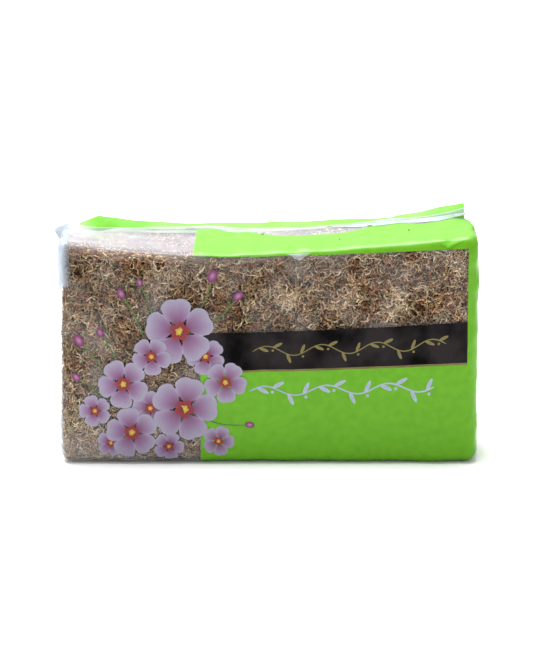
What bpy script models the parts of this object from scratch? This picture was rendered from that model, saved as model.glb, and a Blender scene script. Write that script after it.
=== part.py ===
"""A pressed block of dried sphagnum moss in its heat-sealed film bag.

The bag stands on its long narrow base with the front panel towards -Y.
Metres, +Z up, origin on the ground under the middle of the bag.
"""

import math
import random

import bmesh
import bpy
from mathutils import Vector, noise

# Size of the filled bag, over the film, before the film settles
BAG_HALF_LENGTH = 0.1463
BAG_HALF_DEPTH = 0.0320
BAG_HEIGHT = 0.1550
EDGE_RADIUS = 0.0090

# How the filled bag has settled
TOP_LOW = -0.25  # where the top sags lowest, as a share of the half length
TOP_LEFT_RISE = 0.0097  # the left front corner, above the lowest part of the top
TOP_RIGHT_RISE = 0.0126  # the right end, above it too
BELLY = 0.0016  # front and back bow out
END_TUCK = 0.0026  # the folded ends draw in down their middle
BASE_HOLLOW = 0.00015  # the base is drawn up a touch, so the pack stands on its corners

# The film, drawn thicker than the real web so that it holds as a solid
FILM = 0.0006
SEAM = 0.0013  # two webs sealed together

# The sealed seam, which stands up along the top near the back
SEAM_LEFT = -0.1520
SEAM_RIGHT = 0.1378
SEAM_FOOT_Y = 0.0225
SEAM_LEAN = 0.0085
# Height of the lip above the top: at these places along the bag, in millimetres
SEAM_LIP = ((-152, 0.4), (-144, 3.0), (-135, 2.6), (-121, 8.6), (-103, 6.7), (-85, 4.7))
SEAM_LIP += ((-56, 4.0), (-28, 4.1), (22, 2.8), (64, 1.6), (86, 1.4), (107, 2.4))
SEAM_LIP += ((121, 4.6), (138, 7.0))
EAR_LENGTH = 0.014
EAR_DEPTH = 0.0055

# Air holes in the back panel
VENT_RADIUS = 0.0015
VENT_X = 0.062
VENT_Z = 0.112

# The moss, measured inwards from the bag's outer face
MOSS_DEPTH = 0.0060
MOSS_RELIEF = 0.0022
CURL_COUNT = 165
CURL_DEPTH = 0.0029  # the middle of a curl, at its highest
CURL_ROOT = 0.0100
CURL_WIDTH = 0.0018  # from a curl's middle to its corners


def clamp(value, limit):
    return max(-limit, min(limit, value))


def top_rise(along, across):
    """How far the top stands above its lowest part, from shares of the half sizes."""
    left = max(0, (TOP_LOW - along) / (1 + TOP_LOW)) ** 2 * (1 - across) / 2
    right = max(0, (along - TOP_LOW) / (1 - TOP_LOW)) ** 1.4
    return TOP_LEFT_RISE * left + TOP_RIGHT_RISE * right


def settle(point):
    """Move a point of the plain rounded box to where the filled bag has settled."""
    along = point.x / BAG_HALF_LENGTH
    across = point.y / BAG_HALF_DEPTH
    up = (point.z + BAG_HEIGHT / 2) / BAG_HEIGHT
    top = top_rise(along, across)
    belly = BELLY * (1 - min(1, along * along)) * math.sin(math.pi * max(0, min(1, up)))
    tuck = END_TUCK * max(0, 1 - abs(across) / 0.55) * along**6 * math.copysign(1, along)
    x = point.x - tuck * math.sin(math.pi * max(0, min(1, up)) * 0.8)
    long_share = point.x / (BAG_HALF_LENGTH - EDGE_RADIUS)
    deep_share = point.y / (BAG_HALF_DEPTH - EDGE_RADIUS)
    hollow = BASE_HOLLOW * max(0, 1 - (long_share * deep_share) ** 2) * max(0, 1 - 12 * up)
    return Vector((x, point.y + across * belly, (BAG_HEIGHT + top) * up + hollow))


def skin(point, depth):
    """Carry a point on the plain box to the settled bag, some depth under its outer face."""
    core = Vector(
        (
            clamp(point.x, BAG_HALF_LENGTH - EDGE_RADIUS),
            clamp(point.y, BAG_HALF_DEPTH - EDGE_RADIUS),
            clamp(point.z, BAG_HEIGHT / 2 - EDGE_RADIUS),
        )
    )
    outwards = (point - core).normalized()
    return settle(core + outwards * (EDGE_RADIUS - depth))


def grid_lines(half, count):
    """Lines across one side of the box, closer together round its rounded edges."""
    near = EDGE_RADIUS * (1 - math.tan(math.radians(22.5)))
    flat = half - EDGE_RADIUS
    middle = [flat * (2 * i / count - 1) for i in range(count + 1)]
    return [-half, near - half] + middle + [half - near, half]


def rounded_box(name, counts, depth_at, move=lambda box: box):
    """A closed rounded box that follows the bag, from a cube cut into a grid."""
    halves = (BAG_HALF_LENGTH, BAG_HALF_DEPTH, BAG_HEIGHT / 2)
    lines = [grid_lines(half, count) for half, count in zip(halves, counts)]
    shape = bmesh.new()
    bmesh.ops.create_cube(shape, size=2)
    for axis in range(3):
        edges = []
        for edge in shape.edges:
            if abs(edge.verts[0].co[axis] - edge.verts[1].co[axis]) > 1e-4:
                edges.append(edge)
        cuts = len(lines[axis]) - 2
        bmesh.ops.subdivide_edges(shape, edges=edges, cuts=cuts, use_grid_fill=True)
    for vert in shape.verts:
        box = Vector()
        for axis in range(3):
            steps = len(lines[axis]) - 1
            box[axis] = lines[axis][round((vert.co[axis] + 1) / 2 * steps)]
        box = move(box)
        vert.co = skin(box, depth_at(box))
    bmesh.ops.triangulate(shape, faces=shape.faces)
    bmesh.ops.recalc_face_normals(shape, faces=shape.faces)
    mesh = bpy.data.meshes.new(name)
    shape.to_mesh(mesh)
    shape.free()
    mesh.shade_smooth()
    return bpy.data.objects.new(name, mesh)


def coat(name, colour, roughness):
    material = bpy.data.materials.new(name)
    material.use_nodes = True
    shader = material.node_tree.nodes["Principled BSDF"]
    shader.inputs["Base Color"].default_value = (*colour, 1)
    shader.inputs["Roughness"].default_value = roughness
    shader.inputs["Metallic"].default_value = 0
    return material


def boolean(target, operation, other):
    modifier = target.modifiers.new(other.name, "BOOLEAN")
    modifier.operation = operation
    modifier.object = other


for old in list(bpy.data.objects):
    bpy.data.objects.remove(old)

pack = bpy.data.collections.new("moss_pack")
cutters = bpy.data.collections.new("cutters")
curls = bpy.data.collections.new("curls")
for collection in (pack, cutters, curls):
    bpy.context.scene.collection.children.link(collection)


# The film bag: an outer face, the sealed seam along its top, and the room for the moss
bag = rounded_box("film_bag", (12, 3, 6), lambda box: 0)
bag.data.materials.append(coat("printed_film", (0.147, 0.429, 0.023), 0.28))
pack.objects.link(bag)


def lip_height(x):
    """Height of the lip at one place along the bag, eased between the given places."""
    for (left, low), (right, high) in zip(SEAM_LIP, SEAM_LIP[1:]):
        if x <= right / 1000:
            share = max(0, (x * 1000 - left) / (right - left))
            share = share * share * (3 - 2 * share)
            return (low + (high - low) * share) / 1000
    return SEAM_LIP[-1][1] / 1000


def seam_point(along, up):
    """A point of the seam: along its length, and from its foot in the bag to its lip."""
    x = SEAM_LEFT + (SEAM_RIGHT - SEAM_LEFT) * along
    share = x / BAG_HALF_LENGTH
    top = BAG_HEIGHT + top_rise(share, SEAM_FOOT_Y / BAG_HALF_DEPTH)
    ear = max(0, min(1, (-x - 0.1380) / EAR_LENGTH))
    foot = top - 0.0035 - EAR_DEPTH * math.sin(math.pi * ear**1.6)
    lip = top + lip_height(x)
    lean = SEAM_LEAN * (1 - 0.55 * ear)
    y = SEAM_FOOT_Y + lean * up**1.2 + 0.0008 * math.sin(21 * share + 0.5) * up
    return Vector((x, y, foot + (lip - foot) * up))


shape = bmesh.new()
bmesh.ops.create_grid(shape, x_segments=30, y_segments=3, size=1)
for vert in shape.verts:
    vert.co = seam_point((vert.co.x + 1) / 2, (vert.co.y + 1) / 2)
bmesh.ops.recalc_face_normals(shape, faces=shape.faces)
mesh = bpy.data.meshes.new("sealed_seam")
shape.to_mesh(mesh)
shape.free()
seam = bpy.data.objects.new("sealed_seam", mesh)
thick = seam.modifiers.new("two_webs", "SOLIDIFY")
thick.thickness = SEAM
thick.offset = 0

room = rounded_box("room_for_moss", (12, 3, 6), lambda box: FILM)
for vent, side in (("vent_left", -1), ("vent_right", 1)):
    bpy.ops.mesh.primitive_cylinder_add(
        vertices=12,
        radius=VENT_RADIUS,
        depth=0.006,
        location=(side * VENT_X, BAG_HALF_DEPTH + 0.001, VENT_Z),
        rotation=(math.radians(90), 0, 0),
    )
    cutter = bpy.context.object
    cutter.name = vent
    for home in list(cutter.users_collection):
        home.objects.unlink(cutter)
    cutters.objects.link(cutter)

for cutter in (seam, room):
    cutters.objects.link(cutter)
boolean(bag, "UNION", seam)
boolean(bag, "DIFFERENCE", room)
for cutter in cutters.objects:
    cutter.hide_render = True
    cutter.display_type = "WIRE"
    if cutter.name.startswith("vent"):
        boolean(bag, "DIFFERENCE", cutter)


# The moss block: a matted body, raised in tufts and sunk in gaps between them
def moss_depth(box):
    tufts = noise.noise(box * 330) + 0.8 * noise.noise(box * 160 + Vector((5, 2, 9)))
    swell = 0.4 * noise.noise(box * 40 + Vector((1, 4, 2)))
    return MOSS_DEPTH - MOSS_RELIEF * max(-1, min(1, 2.1 * (tufts + swell)))


def loosen(box):
    """Shift a grid point along its side, so that the mat shows no rows."""
    halves = (BAG_HALF_LENGTH, BAG_HALF_DEPTH, BAG_HEIGHT / 2)
    shift = 0.0052 * noise.noise_vector(box * 210)
    for axis in range(3):
        if halves[axis] - abs(box[axis]) > EDGE_RADIUS + 0.003:
            box[axis] += shift[axis]
    return box


moss = rounded_box("moss_block", (22, 3, 11), moss_depth, loosen)
moss.data.materials.append(coat("dried_moss", (0.376, 0.258, 0.159), 0.9))
pack.objects.link(moss)


# Its curls: long three-sided strands that lie in the face, with their roots sunk in
def on_face(draw):
    """A point drawn evenly over the plain box, with the axis that its side faces along."""
    halves = (BAG_HALF_LENGTH, BAG_HALF_DEPTH, BAG_HEIGHT / 2)
    areas = (halves[1] * halves[2], halves[0] * halves[2], halves[0] * halves[1])
    facing = draw.choices((0, 1, 2), weights=areas)[0]
    point = Vector([draw.uniform(-half, half) for half in halves])
    point[facing] = draw.choice((-1, 1)) * halves[facing]
    return point, facing


def over_edges(point, facing):
    """Fold a point that has run off its side of the box round onto the next side."""
    halves = (BAG_HALF_LENGTH, BAG_HALF_DEPTH, BAG_HEIGHT / 2)
    folded = point.copy()
    for axis in range(3):
        past = abs(point[axis]) - halves[axis]
        if axis != facing and past > 0:
            folded[axis] = math.copysign(halves[axis], point[axis])
            folded[facing] -= math.copysign(past, point[facing])
    return folded


def curl_path(draw, start, facing):
    """Four points along one curl: its sunk root, its bent back and its end."""
    first, second = [axis for axis in range(3) if axis != facing]
    heading = draw.uniform(0, 2 * math.pi)
    turn = draw.choice((-1, 1)) * draw.uniform(0.3, 1.05)
    step = draw.uniform(0.0062, 0.0095)
    lift = draw.uniform(0, 0.0008)
    free_end = draw.random() < 0.75
    end = CURL_DEPTH + lift + 0.0006 if free_end else CURL_ROOT
    path = []
    place = start.copy()
    for depth in (CURL_ROOT, CURL_DEPTH + lift, CURL_DEPTH + lift + 0.0002, end):
        path.append(skin(over_edges(place, facing), depth))
        step *= 1.1
        place[first] += step * math.cos(heading)
        place[second] += step * math.sin(heading)
        heading += turn
    return path, free_end


section = bpy.data.curves.new("curl_section", "CURVE")
section.dimensions = "2D"
corners = section.splines.new("POLY")
corners.points.add(2)
corners.use_cyclic_u = True
for number, corner in enumerate(corners.points):
    turned = 2 * math.pi * number / 3 + 0.5
    corner.co = (CURL_WIDTH * math.cos(turned), CURL_WIDTH * math.sin(turned), 0, 1)
section_guide = bpy.data.objects.new("curl_section", section)
bpy.context.scene.collection.objects.link(section_guide)

draw = random.Random(3742)
roots = []
for number in range(CURL_COUNT):
    best = None
    for attempt in range(10):
        place, facing = on_face(draw)
        where = skin(place, MOSS_DEPTH)
        space = min([(where - root).length for root in roots], default=1)
        if best is None or space > best[0]:
            best = (space, place, facing, where)
    roots.append(best[3])
    path, free_end = curl_path(draw, best[1], best[2])
    line = bpy.data.curves.new("curl", "CURVE")
    line.dimensions = "3D"
    line.bevel_mode = "OBJECT"
    line.bevel_object = section_guide
    line.use_fill_caps = True
    spline = line.splines.new("POLY")
    spline.points.add(len(path) - 1)
    for point, place in zip(spline.points, path):
        point.co = (*place, 1)
        point.radius = 1
        point.tilt = 0.3 * number
    spline.points[-1].radius = 0.4 if free_end else 0.8
    strand = bpy.data.objects.new("curl", line)
    bpy.context.scene.collection.objects.link(strand)
    bpy.context.view_layer.update()
    seen = strand.evaluated_get(bpy.context.evaluated_depsgraph_get())
    mesh = bpy.data.meshes.new_from_object(seen)
    bpy.data.objects.remove(strand)
    bpy.data.curves.remove(line)
    shape = bmesh.new()
    shape.from_mesh(mesh)
    bmesh.ops.remove_doubles(shape, verts=shape.verts, dist=0.000005)
    bmesh.ops.triangulate(shape, faces=shape.faces)
    bmesh.ops.recalc_face_normals(shape, faces=shape.faces)
    shape.to_mesh(mesh)
    shape.free()
    curls.objects.link(bpy.data.objects.new(f"curl_{number}", mesh))
bpy.data.objects.remove(section_guide)

fuse = moss.modifiers.new("fused_curls", "BOOLEAN")
fuse.operation = "UNION"
fuse.operand_type = "COLLECTION"
fuse.collection = curls
fuse.solver = "MANIFOLD"
bpy.context.view_layer.update()
seen = moss.evaluated_get(bpy.context.evaluated_depsgraph_get())
fused = bpy.data.meshes.new_from_object(seen)
moss.modifiers.clear()
moss.data = fused
for strand in list(curls.objects):
    bpy.data.objects.remove(strand)
bpy.data.collections.remove(curls)


def one_body(mesh):
    """Keep the largest closed body, so that small sealed hollows are filled."""
    shape = bmesh.new()
    shape.from_mesh(mesh)
    bodies = []
    waiting = set(shape.verts)
    while waiting:
        reached = [waiting.pop()]
        body = []
        while reached:
            vert = reached.pop()
            body.append(vert)
            for edge in vert.link_edges:
                other = edge.other_vert(vert)
                if other in waiting:
                    waiting.remove(other)
                    reached.append(other)
        bodies.append(body)
    bodies.sort(key=len)
    for body in bodies[:-1]:
        bmesh.ops.delete(shape, geom=body, context="VERTS")
    bmesh.ops.triangulate(shape, faces=shape.faces)
    shape.to_mesh(mesh)
    shape.free()


one_body(moss.data)
moss.data.shade_flat()


# The origin goes under the middle of the bag, its ear and seam included
bpy.context.view_layer.update()
seen = bag.evaluated_get(bpy.context.evaluated_depsgraph_get())
reach = [vert.co for vert in seen.data.vertices]
middle_x = (min(co.x for co in reach) + max(co.x for co in reach)) / 2
middle_y = (min(co.y for co in reach) + max(co.y for co in reach)) / 2
for piece in list(pack.objects) + list(cutters.objects):
    piece.location.x -= middle_x
    piece.location.y -= middle_y
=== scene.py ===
"""A pressed block of dried sphagnum moss in its heat-sealed film bag: the finished look."""

import math

import bmesh
import bpy
import numpy as np
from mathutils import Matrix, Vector


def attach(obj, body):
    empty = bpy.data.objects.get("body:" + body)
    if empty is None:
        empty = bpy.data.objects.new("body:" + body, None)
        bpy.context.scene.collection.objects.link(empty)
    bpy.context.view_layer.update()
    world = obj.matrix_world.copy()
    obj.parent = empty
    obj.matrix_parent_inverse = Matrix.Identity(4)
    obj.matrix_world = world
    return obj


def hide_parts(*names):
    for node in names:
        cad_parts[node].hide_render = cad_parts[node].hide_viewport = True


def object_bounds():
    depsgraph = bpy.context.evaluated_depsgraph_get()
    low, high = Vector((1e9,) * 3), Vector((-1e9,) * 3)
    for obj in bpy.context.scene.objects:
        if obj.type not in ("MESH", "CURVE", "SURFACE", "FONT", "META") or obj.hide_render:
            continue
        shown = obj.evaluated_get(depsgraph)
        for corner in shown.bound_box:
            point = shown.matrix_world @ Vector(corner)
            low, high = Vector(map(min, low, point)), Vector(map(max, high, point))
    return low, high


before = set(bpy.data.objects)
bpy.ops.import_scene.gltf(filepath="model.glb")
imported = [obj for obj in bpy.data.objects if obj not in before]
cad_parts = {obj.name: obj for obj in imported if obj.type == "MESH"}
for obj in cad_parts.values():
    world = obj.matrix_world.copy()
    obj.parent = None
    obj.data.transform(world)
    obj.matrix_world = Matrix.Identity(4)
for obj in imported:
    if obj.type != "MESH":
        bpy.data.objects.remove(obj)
solid_low, solid_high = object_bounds()


# The pressed moss mat. Dried sphagnum is packed damp and pressed into a block, so its heart is a
# felt of broken strands. It shows only in the gaps between the strands on the face, and its dark
# colour is painted shade for those gaps.
HALF_LENGTH = 0.1463
HALF_DEPTH = 0.0320
BAG_HEIGHT = 0.1550
EDGE_RADIUS = 0.0090
HALVES = np.array((HALF_LENGTH, HALF_DEPTH, BAG_HEIGHT / 2))
CORE = HALVES - EDGE_RADIUS  # the plain box inside the rounded edges
BAG_MIDDLE = solid_high.x - HALF_LENGTH
LEFT_RISE = 0.0097  # how far the settled top stands up at the left front corner
RIGHT_RISE = 0.0126  # and at the right end
BELLY = 0.0016  # how far the front and the back swell at mid height
END_TUCK = 0.0026  # how far the middle of each end is drawn in
BASE_HOLLOW = 0.00015  # the bag stands on the rim of its base, with the middle this much clear
MAT_DEPTH = 0.0056
MAT_CELL = 0.0032
TALLEST_LUMP = 0.0024


def top_rise(along, across):
    """How far the settled top stands above its lowest part."""
    left = np.maximum(0, (-0.25 - along) / 0.75) ** 2 * (1 - across) / 2
    right = np.maximum(0, (along + 0.25) / 1.25) ** 1.4
    return LEFT_RISE * left + RIGHT_RISE * right


def settle(points):
    """Move points of the plain rounded box to where the filled bag has settled."""
    along = points[:, 0] / HALF_LENGTH
    across = points[:, 1] / HALF_DEPTH
    up = (points[:, 2] + BAG_HEIGHT / 2) / BAG_HEIGHT
    arch = np.sin(np.pi * np.clip(up, 0, 1))
    belly = BELLY * (1 - np.minimum(1, along**2)) * arch
    tuck = END_TUCK * np.maximum(0, 1 - np.abs(across) / 0.55) * along**6 * np.sign(along)
    rim = np.prod((points[:, :2] / CORE[:2]) ** 2, axis=1)
    hollow = BASE_HOLLOW * np.maximum(0, 1 - rim) * np.maximum(0, 1 - 12 * up)
    x = points[:, 0] - tuck * np.sin(np.pi * np.clip(up, 0, 1) * 0.8) + BAG_MIDDLE
    y = points[:, 1] + across * belly
    z = (BAG_HEIGHT + top_rise(along, across)) * up + hollow
    return np.stack((x, y, z), axis=1)


def skin(box, depth):
    """Carry points of the plain box to the settled bag, some depth under its outer face."""
    core = np.clip(box, -CORE, CORE)
    out = box - core
    out = out / np.maximum(1e-9, np.linalg.norm(out, axis=1))[:, None]
    return settle(core + out * (EDGE_RADIUS - np.asarray(depth))[..., None])


def swell(points, size, seed, count=9):
    """Smooth uneven swell between about -1 and 1, about size metres from crest to crest."""
    draw = np.random.default_rng(seed)
    total = np.zeros(len(points))
    for wave in range(count):
        way = draw.normal(size=3)
        way *= draw.uniform(0.75, 1.5) * 2 * np.pi / size / np.linalg.norm(way)
        total += np.sin(points @ way + draw.uniform(0, 2 * np.pi))
    return total / math.sqrt(count * 1.3)


def points_of(shape):
    """The points of a bmesh, one to a row."""
    return np.array([vert.co for vert in shape.verts])


def move_points(shape, spots):
    """Move the points of a bmesh to these spots."""
    for vert, spot in zip(shape.verts, spots):
        vert.co = spot


def box_grid(cell):
    """A cube cut into cells of about this size, with its points on the plain box."""
    shape = bmesh.new()
    bmesh.ops.create_cube(shape, size=2)
    for axis in range(3):
        edges = []
        for edge in shape.edges:
            if abs(edge.verts[0].co[axis] - edge.verts[1].co[axis]) > 1e-4:
                edges.append(edge)
        cuts = round(2 * HALVES[axis] / cell) - 1
        bmesh.ops.subdivide_edges(shape, edges=edges, cuts=cuts, use_grid_fill=True)
    move_points(shape, points_of(shape) * HALVES)
    return shape


def fix_in_pack(name, mesh, material):
    """Make a finished mesh a piece of the pack, with its material."""
    mesh.shade_smooth()
    mesh.materials.append(material)
    piece = bpy.data.objects.new(name, mesh)
    bpy.context.scene.collection.objects.link(piece)
    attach(piece, "root")
    return piece


def add_piece(name, shape, material):
    """Make a finished bmesh a piece of the pack, with its material."""
    mesh = bpy.data.meshes.new(name)
    shape.to_mesh(mesh)
    shape.free()
    return fix_in_pack(name, mesh, material)


def colour(code):
    """An sRGB hex colour as linear light."""
    parts = [int(code[place : place + 2], 16) / 255 for place in (1, 3, 5)]
    linear = [c / 12.92 if c <= 0.04045 else ((c + 0.055) / 1.055) ** 2.4 for c in parts]
    return (*linear, 1)


def feed(made, feeds):
    """Give the inputs of a node what feeds them: another node, a socket or a number."""
    for socket, source in feeds:
        if isinstance(source, (int, float)):
            made.inputs[socket].default_value = source
        else:
            source = getattr(source, "outputs", [source])[0]
            made.id_data.links.new(source, made.inputs[socket])


def node(tree, kind, feeds=(), stops=(), **settings):
    """Add a node: settings name its own choices or its inputs, and stops are the places and
    hex colours of a colour ramp."""
    made = tree.nodes.new("ShaderNode" + kind)
    for name, value in settings.items():
        if hasattr(made, name):
            setattr(made, name, value)
        else:
            made.inputs[name.replace("_", " ")].default_value = value
    feed(made, feeds)
    if stops:
        marks = made.color_ramp.elements
        while len(marks) < len(stops):
            marks.new(0.5)
        for mark, (place, code) in zip(marks, stops):
            mark.position = place
            mark.color = colour(code)
    return made


def new_material(name, roughness, gloss):
    """A material, its node tree and its shader. Gloss is how strong its highlights are."""
    material = bpy.data.materials.new(name)
    material.use_nodes = True
    shader = material.node_tree.nodes["Principled BSDF"]
    shader.inputs["Roughness"].default_value = roughness
    shader.inputs["Specular IOR Level"].default_value = gloss
    return material, material.node_tree, shader


# Pressed sphagnum felt, dry and matt, coloured dark as painted shade for the gaps between the
# strands: near black in its pores, which lie 2.4 mm apart or 420 to the metre, and dull brown where
# it rises between them.
gap_shade_felt, tree, shader = new_material("pressed_sphagnum_felt_painted_shade", roughness=0.95, gloss=0.2)
place = node(tree, "TexCoord").outputs["Object"]
pores = node(tree, "TexNoise", [("Vector", place)], Scale=420, Detail=4)
tones = ((0.35, "#241A12"), (0.55, "#473524"), (0.7, "#755A40"))
tone = node(tree, "ValToRGB", [("Fac", pores)], tones)
bump = node(tree, "Bump", [("Height", pores)], Strength=0.8, Distance=0.001)
feed(shader, [("Base Color", tone), ("Normal", bump)])

shape = box_grid(MAT_CELL)
grid = points_of(shape)
lumps = 0.0009 * swell(grid, 0.011, 11) + 0.0007 * swell(grid, 0.0065, 12)
move_points(shape, skin(grid, MAT_DEPTH - np.clip(lumps, -TALLEST_LUMP, TALLEST_LUMP)))
mat = add_piece("moss_mat", shape, gap_shade_felt)
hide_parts("moss_block")


# The moss strands. Each is a branch of dried sphagnum, 1 to 2 mm across with its scale-like
# leaves, curled as it dried and pressed flat against the film in a tangle some layers deep.
STRAND_RADIUS = 0.00050
STRAND_STEP = 0.00105  # one ring of leaves to the next
STRAND_SIDES = 3
LAYERS = (  # name, strands, rings in each, how deep they lie in metres, and their thickness
    ("deep", 7600, 7, (0.0028, 0.0052), 1.10),
    ("face", 8600, 8, (0.0011, 0.0032), 0.95),
    ("wisps", 4600, 5, (0.0010, 0.0020), 0.52),
    ("tufts", 330, 9, (0.0010, 0.0019), 1.00),
)
SHALLOWEST = 0.0010  # no strand is drawn nearer to the bag's face than this
DEEPEST = 0.0080
TRIES = 6  # starts drawn for each strand that is made
BEHIND_PRINT = 0.13  # the share of the starts that is kept where print hides the moss
FLAP_LEFT = -0.0538  # left of this the whole bag is clear
WINDOW_RIGHT = 0.1390
BAND_TOP = 0.0203
CLEAR_STRIP = (0.003, 0.026)  # the clear strip along the top, from and to across the bag
EMPTY_CORNER = (0.1300, 0.0640)  # right of this and above it no moss fills the bag
VENTS = ((-0.0620, 0.0345), (0.0620, 0.0345))  # two air holes in the back, across it and up it
VENT_RADIUS = 0.0015
TUFTS = 16  # paler bundles of strands in the window, 20 or so strands each
TUFTS_ALONG = (0.000, 0.136)
TUFTS_UP = (0.026, 0.071)
TUFT_SPREAD = 0.0020
TUFT_TOP = 0.0740
CORNER_SLACK = 0.0009  # how far the moss stands back at the upper left corner
END_SWELL = 0.0011  # how far it swells out at the left end


def seen_share(box, facing):
    """How much of the moss is made at a point: all behind clear film, less behind print."""
    x, y, z = box.T
    # Clear places are taken some millimetres wider, for the strands that cross their edges.
    front = (facing == 1) & (y < 0)
    window = front & (x < WINDOW_RIGHT + 0.004) & (z > BAND_TOP - 0.005)
    top = (facing == 2) & (z > 0)
    left = (x < FLAP_LEFT + 0.008) & (front | top | ((facing == 0) & (x < 0)))
    strip = top & (y > CLEAR_STRIP[0]) & (y < CLEAR_STRIP[1])
    share = np.where(left | window | strip, 1.0, BEHIND_PRINT)
    for across, up in VENTS:
        near = (y > 0) & (np.hypot(x - across, z - up) < 4 * VENT_RADIUS)
        share = np.where(near, 1.0, share)
    empty = (x > EMPTY_CORNER[0]) & (z > EMPTY_CORNER[1]) & ~window
    return np.where(empty, 0.0, share)


def drawn_starts(draw, count):
    """Points spread over the plain box, dense where the film is clear."""
    areas = np.array([HALVES[1] * HALVES[2], HALVES[0] * HALVES[2], HALVES[0] * HALVES[1]])
    facing = draw.choice(3, size=count * TRIES, p=areas / areas.sum())
    box = draw.uniform(-1, 1, size=(count * TRIES, 3)) * HALVES
    rows = np.arange(len(box))
    box[rows, facing] = draw.choice((-1, 1), size=len(box)) * HALVES[facing]
    kept = draw.uniform(size=len(box)) < seen_share(box, facing)
    return box[kept][:count], facing[kept][:count]


def tuft_starts(draw, count):
    """Points close round the middles of the pale tufts in the window."""
    tuft = draw.integers(0, TUFTS, count)
    x = draw.uniform(*TUFTS_ALONG, TUFTS)[tuft] + draw.normal(0, TUFT_SPREAD, count)
    z = draw.uniform(*TUFTS_UP, TUFTS)[tuft] + draw.normal(0, TUFT_SPREAD, count)
    box = np.stack((x, np.full(count, -HALF_DEPTH), np.minimum(z, TUFT_TOP)), axis=1)
    return box, np.ones(count, dtype=int)


def past(value, start, width):
    """0 up to a start, 1 from a width past it, and rising evenly between."""
    return np.clip((value - start) / width, 0, 1)


def slack(box):
    """How far the moss stands back at the upper left corner, and swells out below it."""
    corner = past(box[:, 2], 0.016, 0.006) * past(-box[:, 0], 0.139, 0.004)
    return CORNER_SLACK * corner - END_SWELL * past(-box[:, 0], 0.142, 0.003)


def strand_paths(draw, box, facing, rings, depth, stray):
    """Centre lines that wander in the face of the block, with the depth of every ring."""
    count = len(box)
    first = (facing + 1) % 3
    second = (facing + 2) % 3
    rows = np.arange(count)
    # A strand sets off along the lie of the moss round it, then bends one way and wags.
    heading = swell(box, 0.034, 31) * 2.6 + draw.normal(0, stray, count)
    heading = heading + np.pi * draw.integers(0, 2, count)
    turn = draw.normal(0, 0.28, count)
    wag = draw.uniform(0.15, 0.9, count)
    beat = draw.uniform(0.8, 2.0, count)
    phase = draw.uniform(0, 2 * np.pi, count)
    step = STRAND_STEP * draw.uniform(0.75, 1.3, count)
    place = box.copy()
    path = []
    for ring in range(rings):
        # A ring that runs off its side is folded round the edge, onto the next side.
        folded = place.copy()
        for axis in range(3):
            beyond = np.abs(place[:, axis]) - HALVES[axis]
            over = (beyond > 0) & (axis != facing)
            folded[over, axis] = np.sign(place[over, axis]) * HALVES[axis]
            side = facing[over]
            folded[over, side] -= np.sign(place[over, side]) * beyond[over]
        path.append(folded)
        place[rows, first] += step * np.cos(heading)
        place[rows, second] += step * np.sin(heading)
        heading = heading + turn + wag * np.sin(beat * ring + phase)
    path = np.stack(path, axis=1)
    # The root dips into the mass, the tail may, and the strand rolls up and down between.
    along = np.linspace(0, 1, rings)
    dip = 0.0026 * np.maximum(0, 0.25 - along) / 0.25
    tail = draw.uniform(0, 0.0018, count)[:, None] * np.maximum(0, along - 0.65) / 0.35
    roll = 0.0004 * np.sin(along * draw.uniform(3, 9, count)[:, None] + phase[:, None])
    deep = np.clip(depth[:, None] + dip + tail + roll, SHALLOWEST, DEEPEST)
    return path, deep + slack(path.reshape(-1, 3)).reshape(deep.shape)


def strand_tubes(path, depth, radius, sides):
    """Bumpy tubes along centre lines: their points, then the faces of their sides and ends."""
    count, rings = depth.shape
    flat = path.reshape(-1, 3)
    middle = skin(flat, depth.ravel()).reshape(count, rings, 3)
    normal = skin(flat, depth.ravel() - 0.0005).reshape(count, rings, 3) - middle
    normal /= np.linalg.norm(normal, axis=2, keepdims=True)
    tangent = np.gradient(middle, axis=1)
    across = np.cross(tangent, normal)
    across /= np.maximum(1e-9, np.linalg.norm(across, axis=2, keepdims=True))
    turned = (np.arange(sides) * 2 * np.pi / sides)[None, :] + np.arange(rings)[:, None] * 0.7
    wide = (np.cos(turned) * radius[:, :, None])[..., None] * across[:, :, None, :]
    high = (np.sin(turned) * radius[:, :, None])[..., None] * normal[:, :, None, :]
    verts = (middle[:, :, None, :] + wide + 0.75 * high).reshape(-1, 3)
    lower = (np.arange(count) * rings * sides)[:, None, None]
    lower = lower + (np.arange(rings - 1) * sides)[None, :, None]
    side = np.arange(sides)[None, None, :]
    after = (side + 1) % sides
    quads = (lower + side, lower + after, lower + sides + after, lower + sides + side)
    quads = np.stack(np.broadcast_arrays(*quads), axis=-1).reshape(-1, 4)
    root = (np.arange(count) * rings * sides)[:, None] + np.arange(sides)[None, :]
    tip = root + (rings - 1) * sides
    return verts, quads.tolist() + root[:, ::-1].tolist() + tip.tolist()


def dried_moss(name, dark, body, light):
    """Dried sphagnum branch: papery leaves, matt, each strand a little paler or browner. Its
    tone changes over patches 13 mm across, 75 to the metre, and over leaves of 0.7 mm."""
    material, tree, shader = new_material(name, roughness=0.8, gloss=0.3)
    place = node(tree, "TexCoord").outputs["Object"]
    strand = node(tree, "NewGeometry").outputs["Random Per Island"]
    patch = node(tree, "TexNoise", [("Vector", place)], Scale=75, Detail=2)
    leaf = node(tree, "TexNoise", [("Vector", place)], Scale=1500, Detail=3)
    both = node(tree, "MixRGB", [("Color1", strand), ("Color2", patch)], Fac=0.4)
    all_three = node(tree, "MixRGB", [("Color1", both), ("Color2", leaf)], Fac=0.46)
    tones = ((0.3, dark), (0.5, body), (0.72, light))
    tone = node(tree, "ValToRGB", [("Fac", all_three)], tones)
    bump = node(tree, "Bump", [("Height", leaf)], Strength=0.7, Distance=0.0005)
    feed(shader, [("Base Color", tone), ("Normal", bump)])
    return material


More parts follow.
